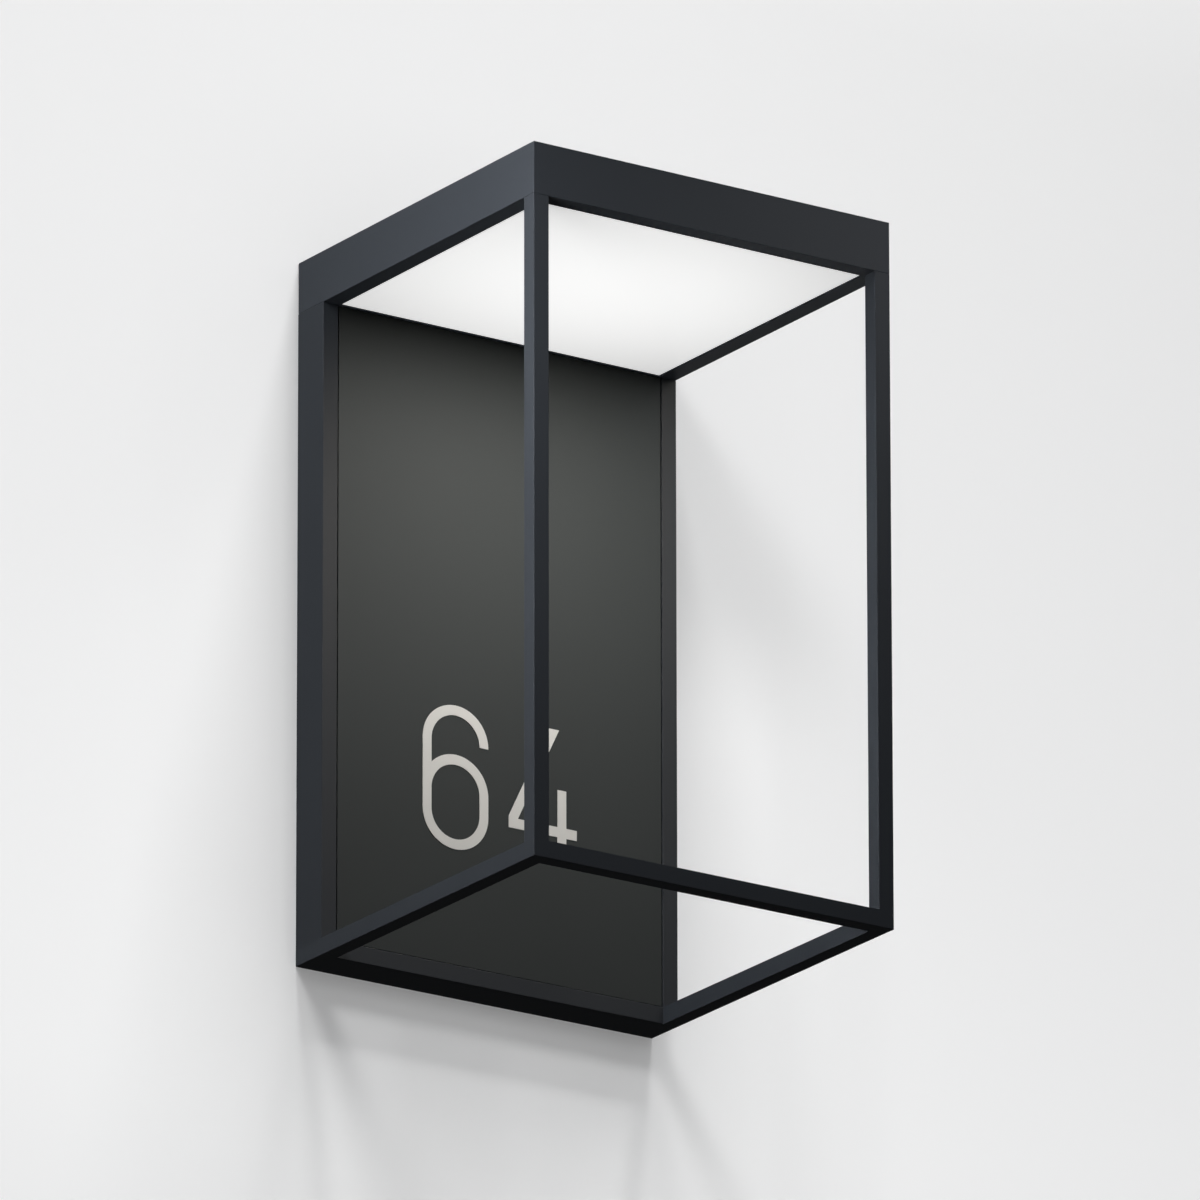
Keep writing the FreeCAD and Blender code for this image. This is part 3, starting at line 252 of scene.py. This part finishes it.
# ------------------------------------------------------------------ driver
# White moulded case and lid round a green circuit board with a taped transformer and two capacitors.
# It drops into the wall box and is held by two screws through its ears.
plastic = Finish("white_moulding", {"Specular IOR Level": 0.5})
skin = plastic.noise(0.0007, 2.0)
flow = plastic.noise(0.02)
plastic.paint({"Base Color": plastic.mix(flow, colour(0.76, 0.76, 0.73), colour(0.82, 0.82, 0.80)),
               "Roughness": 0.38 + skin * 0.16})
plastic.relief(skin, 0.00003)
dress(plastic, "driver_case", "driver_lid", "led_connector", "terminal_block", "lead_clips")

track_width = 0.0004
track_length = 0.011
track_pitch = 0.0042

mask = Finish("green_board", {"Specular IOR Level": 0.5})
upright_face = mask.node("Mapping", {}, {"Vector": mask.place(), "Rotation": (math.radians(90), 0.0, 0.0)})
tracks = mask.node("TexBrick", {"offset": 0.5},
                   {"Vector": upright_face, "Scale": 1.0, "Mortar Size": track_width,
                    "Brick Width": track_length, "Row Height": track_pitch,
                    "Color1": colour(0.02, 0.16, 0.06), "Color2": colour(0.025, 0.19, 0.07),
                    "Mortar": colour(0.07, 0.30, 0.12)})
mask.paint({"Base Color": tracks, "Roughness": 0.25 + mask.noise(0.002) * 0.15})
dress(mask, "driver_board")

lap_scale = 45.0

tape = Finish("winding_tape", {"Specular IOR Level": 0.5})
lap = tape.node("TexWave", {"bands_direction": "Z"},
                {"Vector": tape.place(), "Scale": lap_scale, "Distortion": 0.4})
tape.paint({"Base Color": tape.mix(lap, colour(0.62, 0.44, 0.05), colour(0.80, 0.62, 0.12)),
            "Roughness": 0.30 + lap * 0.12})
tape.relief(lap, 0.00005)
dress(tape, "driver_transformer")

black = Finish("black_moulding", {"Specular IOR Level": 0.45})
frost = black.noise(0.0008, 2.0)
swirl = black.noise(0.01)
black.paint({"Base Color": black.mix(swirl, colour(0.018, 0.018, 0.019), colour(0.032, 0.032, 0.033)),
             "Roughness": 0.40 + frost * 0.2})
black.relief(frost, 0.00003)
dress(black, "driver_capacitors", "magnet_blocks")

# ------------------------------------------------------------------ terminals and leads
# Brass sleeves and an earth post, turned and left bare. The cores are copper in plastic sleeves in
# the usual colours, the earth's striped; the lead to the LED boards is black.
brass = Finish("turned_brass", {"Metallic": 1.0})
turned = brass.noise(0.0005, 3.0)
patina = brass.noise(0.003)
brass.paint({"Base Color": brass.mix(patina, colour(0.66, 0.47, 0.18), colour(0.80, 0.62, 0.30)),
             "Roughness": 0.24 + turned * 0.16})
brass.relief(turned, 0.00002)
dress(brass, "terminal_clamps", "earth_standoff", "earth_lug")


def sleeve(name, dark, light, *leads):
    """Soft plastic sleeve of a lead, slightly uneven along its length."""
    finish = Finish(name, {"Specular IOR Level": 0.5})
    uneven = finish.noise(0.006, 2.0)
    finish.paint({"Base Color": finish.mix(uneven, dark, light), "Roughness": 0.34 + uneven * 0.16})
    finish.relief(uneven, 0.00006)
    dress(finish, *leads)


sleeve("brown_sleeve", colour(0.13, 0.045, 0.015), colour(0.19, 0.07, 0.025), "live_lead")
sleeve("blue_sleeve", colour(0.02, 0.11, 0.44), colour(0.03, 0.16, 0.55), "neutral_lead")
sleeve("black_sleeve", colour(0.016, 0.016, 0.017), colour(0.030, 0.030, 0.031), "led_lead")

striped = Finish("earth_sleeve", {"Specular IOR Level": 0.5})
stripe_width = 0.0016
side_on = striped.node("SeparateXYZ", {}, {"Vector": striped.place()}, "Z")
middle_z = (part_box("earth_lead")[0].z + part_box("earth_lead")[1].z) / 2
stripe = striped.step(side_on, middle_z - stripe_width / 8, middle_z + stripe_width / 8)
striped.paint({"Base Color": striped.mix(stripe, colour(0.03, 0.30, 0.05), colour(0.72, 0.66, 0.03)),
               "Roughness": 0.34 + striped.noise(0.004) * 0.16})
dress(striped, "earth_lead")

# ------------------------------------------------------------------ light chamber
# White-coated aluminium walls round three white LED boards. Each board carries a row of chips under
# yellow phosphor, and bare copper links join one board to the next.
white = Finish("white_coat", {"Specular IOR Level": 0.4})
pebble = white.noise(0.0007, 2.0)
white.paint({"Base Color": white.mix(white.noise(0.03), colour(0.84, 0.84, 0.83), colour(0.89, 0.89, 0.88)),
             "Roughness": 0.45 + pebble * 0.15})
white.relief(pebble, 0.00003)
dress(white, "reflector_frame")

board = Finish("white_board", {"Specular IOR Level": 0.5})
gloss = board.noise(0.003, 2.0)
print_tone = board.noise(0.012)
board.paint({"Base Color": board.mix(print_tone, colour(0.80, 0.81, 0.80), colour(0.88, 0.88, 0.86)),
             "Roughness": 0.22 + gloss * 0.14})
dress(board, "led_boards")

phosphor = Finish("phosphor", {"Specular IOR Level": 0.5})
speck = phosphor.noise(0.0003, 3.0)
phosphor.paint({"Base Color": phosphor.mix(speck, colour(0.80, 0.58, 0.08), colour(0.92, 0.74, 0.20)),
                "Roughness": 0.35 + speck * 0.2})
dress(phosphor, "led_chips")

copper = Finish("bare_copper", {"Metallic": 1.0})
drawn = copper.noise(0.0004, 3.0, (1.0, 0.05, 1.0))
tarnish = copper.noise(0.003)
copper.paint({"Base Color": copper.mix(tarnish, colour(0.68, 0.34, 0.18), colour(0.82, 0.46, 0.27)),
              "Roughness": 0.24 + drawn * 0.18})
dress(copper, "board_link_wires")

# ------------------------------------------------------------------ diffuser
# Opal acrylic tray, nearly flush with the head's lip and lit from above. It is brightest in the
# middle of the opening and falls off towards its sides and corners.
opal_low, opal_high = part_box("diffuser")
opal_middle = (opal_low + opal_high) / 2
opal_half_x = (opal_high.x - opal_low.x) / 2
opal_half_y = (opal_high.y - opal_low.y) / 2
centre_glow = 0.89
fall_x = 0.17
fall_y = 0.20

opal = Finish("opal_acrylic", {"Base Color": colour(0.82, 0.82, 0.81), "Emission Strength": 1.0,
                               "Specular IOR Level": 0.4})
spot = opal.node("Mapping", {},
                 {"Vector": opal.place(),
                  "Location": (-opal_middle.x / opal_half_x, -opal_middle.y / opal_half_y, 0.0),
                  "Scale": (1.0 / opal_half_x, 1.0 / opal_half_y, 1.0)})
aside = opal.node("SeparateXYZ", {}, {"Vector": spot}, "X")
inward = opal.node("SeparateXYZ", {}, {"Vector": spot}, "Y")
glow = centre_glow - aside * aside * (centre_glow * fall_x) - inward * inward * (centre_glow * fall_y)
frosted = opal.noise(0.0012, 2.0)
opal.paint({"Emission Color": opal.mix(glow, colour(0.0, 0.0, 0.0), colour(1.0, 1.0, 0.995)),
            "Roughness": 0.42 + frosted * 0.1})
opal.relief(frosted, 0.00001)
dress(opal, "diffuser")
nodes["diffuser"].visible_diffuse = False
nodes["diffuser"].visible_glossy = False

# ------------------------------------------------------------------ number panel
# Folded aluminium panel in a matt neutral powder coat, set between the stiles with a thin seam all
# round. Nickel-plated magnets in the wall box pull on the keepers behind it.
panel = Finish("panel_coat", {"Specular IOR Level": 0.2})
texture = panel.noise(0.0005, 2.0)
tone = panel.noise(0.12, 2.0)
panel.paint({"Base Color": panel.mix(tone, colour(0.0453, 0.0499, 0.0488), colour(0.0509, 0.0560, 0.0550)),
             "Roughness": 0.60 + texture * 0.14})
panel.relief(texture, 0.00003, 0.6)
dress(panel, "number_panel")

nickel = Finish("nickel_plate", {"Metallic": 1.0})
haze = nickel.noise(0.002, 3.0)
nickel.paint({"Base Color": nickel.mix(haze, colour(0.64, 0.62, 0.58), colour(0.74, 0.72, 0.68)),
              "Roughness": 0.12 + haze * 0.12})
dress(nickel, "panel_magnets")

# ------------------------------------------------------------------ numerals
# Plain house numerals cut from warm light grey film and laid on the panel.
film = Finish("numeral_film", {"Specular IOR Level": 0.3})
fibre = film.noise(0.0006, 2.0)
film.paint({"Base Color": film.mix(film.noise(0.02), colour(0.81, 0.80, 0.76), colour(0.85, 0.84, 0.80)),
            "Roughness": 0.52 + fibre * 0.12})
film.relief(fibre, 0.00002)
dress(film, "numeral_six", "numeral_four")

# ------------------------------------------------------------------ wall and floor
# A pale wall behind the sign, open behind the sign's own back, with painted light: its tone is lighter
# towards the bottom and darker towards the top. A plain pale floor lies below. Both face the front and are
# clear from behind, so that views of the back see the bracket.
wall_half = 6.0
floor_z = -4.6
wall_top = 6.0
rim = 0.001
wall_y = 0.0002
# Heights between which the wall's painted light runs: lighter towards the bottom, darker towards the top.
painted_light_bottom = -0.3
painted_light_top = 0.45


def stage_finish(name, lit_low, lit_high, shown_low, shown_high):
    """Pale matt paint: part of its tone is lit and holds the shadows, and part is shown as it is.

    Each part runs from its low value at the low height to its high value at the high height. Where the two
    differ, as on the wall, this is painted light: the tone changes with height to stand in for how light
    falls.
    """
    def grey(tone):
        return colour(tone, tone, tone)

    finish = Finish(name, {"Specular IOR Level": 0.0, "Emission Strength": 1.0})
    ray = finish.node("LightPath", {}, {}, "Is Camera Ray")
    uneven = finish.noise(0.9, 2.0)
    height = finish.node("SeparateXYZ", {}, {"Vector": finish.place()}, "Z")
    # Painted light: the lit colour and the shown glow both change with height, lighter towards the bottom
    # and darker towards the top. On the floor the two ends are equal, so it stays even.
    painted_light_ramp = finish.node("MapRange", {}, {"Value": height, "From Min": painted_light_bottom, "From Max": painted_light_top})
    lit = finish.mix(painted_light_ramp, grey(lit_low), grey(lit_high))
    shown = finish.mix(painted_light_ramp, grey(shown_low), grey(shown_high))
    finish.paint({"Base Color": lit, "Roughness": 0.86 + uneven * 0.08,
                  "Emission Color": finish.mix(ray, grey(0.0), shown)})
    clear = finish.node("BsdfTransparent", {}, {})
    behind = finish.node("NewGeometry", {}, {}, "Backfacing")
    output = finish.tree.nodes["Material Output"]
    both = finish.node("MixShader", {}, {0: behind, 1: Socket(finish, finish.shader.outputs[0]), 2: clear})
    finish.tree.links.new(both.link, output.inputs["Surface"])
    return finish.material


def sheet(name, corners, material):
    """Flat stage sheet through four corners, facing the way they turn."""
    form = bmesh.new()
    form.faces.new([form.verts.new(corner) for corner in corners])
    mesh = bpy.data.meshes.new(name)
    form.to_mesh(mesh)
    form.free()
    mesh.materials.append(material)
    made = bpy.data.objects.new(name, mesh)
    bpy.context.scene.collection.objects.link(made)
    made.visible_diffuse = False
    made.visible_glossy = False
    return made


# The wall's painted light: lit colour and shown glow are both lighter low down and darker high up.
wall_paint_and_painted_light = stage_finish("wall_paint_and_painted_light", lit_low=0.855, lit_high=0.675, shown_low=0.155, shown_high=0.018)
floor_paint = stage_finish("floor_paint", lit_low=0.73, lit_high=0.73, shown_low=0.34, shown_high=0.34)
low, high = cad_box
left, right = low.x + rim, high.x - rim
bottom, top = low.z + rim, high.z - rim
sheet("wall_left", [(-wall_half, wall_y, floor_z), (left, wall_y, floor_z), (left, wall_y, wall_top),
                    (-wall_half, wall_y, wall_top)], wall_paint_and_painted_light)
sheet("wall_right", [(right, wall_y, floor_z), (wall_half, wall_y, floor_z), (wall_half, wall_y, wall_top),
                     (right, wall_y, wall_top)], wall_paint_and_painted_light)
sheet("wall_below", [(left, wall_y, floor_z), (right, wall_y, floor_z), (right, wall_y, bottom),
                     (left, wall_y, bottom)], wall_paint_and_painted_light)
sheet("wall_above", [(left, wall_y, top), (right, wall_y, top), (right, wall_y, wall_top),
                     (left, wall_y, wall_top)], wall_paint_and_painted_light)
floor = sheet("floor", [(-wall_half, -2 * wall_half, floor_z), (wall_half, -2 * wall_half, floor_z),
                        (wall_half, wall_y, floor_z), (-wall_half, wall_y, floor_z)], floor_paint)


# ------------------------------------------------------------------ studio light
# Soft lamps near the front corner light the frame, and lamps under the diffuser give the pool on the
# panel and on the bars round it. Frame, surround, panel and wall have their own lamps, and each keeps
# the photographed tone; the room is dim.
def group(name, members):
    made = bpy.data.collections.new(name)
    for member in members:
        made.objects.link(member)
    return made


panel_names = ("number_panel", "numeral_six", "numeral_four")
surround_names = ("back_stile_left", "back_stile_right", "bottom_rail_back")
sign_pieces = group("sign_pieces", nodes.values())
panel_pieces = group("panel_pieces", [nodes[name] for name in panel_names])
surround_pieces = group("surround_pieces", [nodes[name] for name in surround_names])
frame_pieces = group("frame_pieces", [piece for name, piece in nodes.items()
                                      if name not in panel_names + surround_names])
metal_pieces = group("metal_pieces", [piece for piece in frame_pieces.objects
                                      if piece != nodes["diffuser"]])
backdrop = group("backdrop", [piece for piece in bpy.data.objects
                              if piece.name.startswith("wall_") and piece.name not in nodes] + [floor])


def lamp(name, at, towards, size, watts, lights, tint=(1.0, 1.0, 1.0), spread=180.0):
    """Rectangular soft lamp that lights one group of pieces. Tint is its colour, spread in degrees."""
    data = bpy.data.lights.new(name, "AREA")
    data.shape = "RECTANGLE"
    data.size, data.size_y = size
    data.energy = watts
    data.color = tint
    data.spread = math.radians(spread)
    made = bpy.data.objects.new(name, data)
    aim = (Vector(towards) - Vector(at)).to_track_quat("-Z", "Y")
    made.matrix_world = Matrix.Translation(Vector(at)) @ aim.to_matrix().to_4x4()
    made.visible_camera = False
    made.light_linking.receiver_collection = lights
    bpy.context.scene.collection.objects.link(made)


front_corner = (-0.12, -0.20, 0.10)
sign_middle = (0.0, -0.20, 0.10)
wall_middle = (0.0, -0.10, 0.10)
side_place = (-0.60, -0.32, 0.30)
far_side_place = (-2.00, -0.40, 1.80)
right_place = (0.30, -0.50, 0.30)
under_opal = opal_low.z - 0.001
warm_white = (1.0, 0.965, 0.925)
warm = (1.0, 0.91, 0.79)

lamp("near_lamp", (-0.32, -0.33, 0.12), front_corner, (0.1, 0.1), 0.379, frame_pieces)
lamp("corner_lamp", (-0.40, -0.30, 0.22), front_corner, (0.15, 0.15), 0.282, frame_pieces)
lamp("low_lamp", (-0.45, -0.29, -0.05), front_corner, (0.2, 0.2), 0.60, metal_pieces)
lamp("side_lamp", side_place, front_corner, (0.25, 0.25), 1.46, frame_pieces)
lamp("far_side_lamp", far_side_place, front_corner, (0.8, 0.8), 14.9, frame_pieces)
lamp("right_lamp", right_place, sign_middle, (0.2, 0.2), 0.344, frame_pieces)
lamp("between_lamp", (-0.105, -0.245, -0.07), (0.11, -0.245, -0.07), (0.008, 0.26), 0.24, metal_pieces)

lamp("surround_side_lamp", side_place, front_corner, (0.25, 0.25), 1.69, surround_pieces)
lamp("surround_far_lamp", far_side_place, front_corner, (0.8, 0.8), 24.2, surround_pieces)
lamp("surround_right_lamp", right_place, sign_middle, (0.2, 0.2), 0.83, surround_pieces, warm)
lamp("surround_pool_lamp", (0.05, -0.185, under_opal), (0.05, -0.185, -1.0), (0.10, 0.10), 0.67,
     surround_pieces, warm)

lamp("panel_right_lamp", right_place, sign_middle, (0.2, 0.2), 0.557, panel_pieces)
lamp("panel_front_lamp", (0.20, -1.00, 0.80), (0.0, -0.25, 0.20), (0.4, 0.4), 1.21, panel_pieces)
lamp("panel_pool_lamp", (0.0, -0.185, under_opal), (0.0, -0.185, -1.0), (0.18, 0.10), 1.03,
     panel_pieces, warm_white)

lamp("wall_key_lamp", (-0.99, -2.36, 1.56), wall_middle, (0.6, 0.6), 19.8, backdrop)
lamp("wall_top_lamp", (0.0, -1.2, 2.4), (0.0, -0.12, 0.1), (1.0, 1.0), 75.5, backdrop)
lamp("wall_front_lamp", (0.0, -5.0, 0.0), wall_middle, (4.0, 4.0), 62.8, backdrop)
lamp("wall_glow_lamp", (0.0, -0.13, under_opal), (0.0, -0.13, -1.0), (0.14, 0.12), 0.197, backdrop,
     (1.0, 0.99, 0.96), 120.0)

lamp("rear_lamp", (0.8, 2.6, 1.2), (0.0, 0.0, 0.0), (3.0, 3.0), 110.0, sign_pieces)

room = bpy.data.worlds.new("room")
bpy.context.scene.world = room
air = Nodes(room)
upwards = air.node("SeparateXYZ", {}, {"Vector": air.node("TexCoord", {}, {}, "Generated")}, "Z")
dim = air.mix(air.step(upwards, -0.6, 0.8), colour(0.03, 0.03, 0.03), colour(0.22, 0.225, 0.235))
seen = air.mix(air.node("LightPath", {}, {}, "Is Camera Ray"), dim, colour(0.82, 0.82, 0.82))
room.node_tree.links.new(seen.link, room.node_tree.nodes["Background"].inputs["Color"])

bpy.context.scene.view_settings.view_transform = "Standard"
